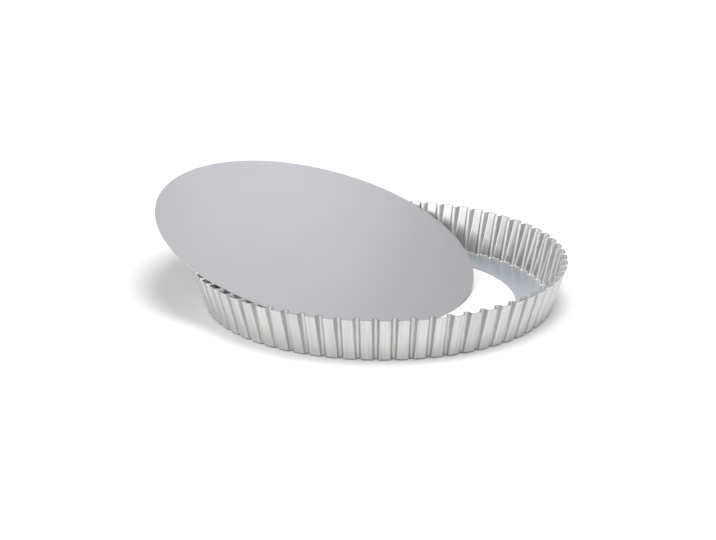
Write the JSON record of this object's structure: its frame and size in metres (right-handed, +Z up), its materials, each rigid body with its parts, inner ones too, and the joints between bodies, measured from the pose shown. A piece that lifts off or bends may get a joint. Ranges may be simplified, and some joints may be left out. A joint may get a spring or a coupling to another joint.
{
  "type": "fluted quiche dish",
  "caption": "Round loose-bottomed baking dish: a thin pressed steel ring with a deeply fluted wall and an inner ledge, and a flat disc base that lifts out",
  "frame": {"origin": "on the axis of the fluted ring, in the plane that its foot stands on", "axes": "+Z up along the ring's axis, X and Y in the plane of the foot; the base leans up towards -X and +Y"},
  "size_m": [0.3083, 0.2954, 0.0696],
  "materials": {
    "ring_steel": "satin",
    "base_steel": "satin"
  },
  "bodies": {
    "ring": {"fluted_ring": "ring_steel"},
    "base": {"loose_base": "base_steel"}
  },
  "joints": [
    {"name": "base_lift", "type": "slide", "parent": "ring", "child": "base", "axis": [0, 0, 1], "range_m": [0, 0.1]}
  ]
}
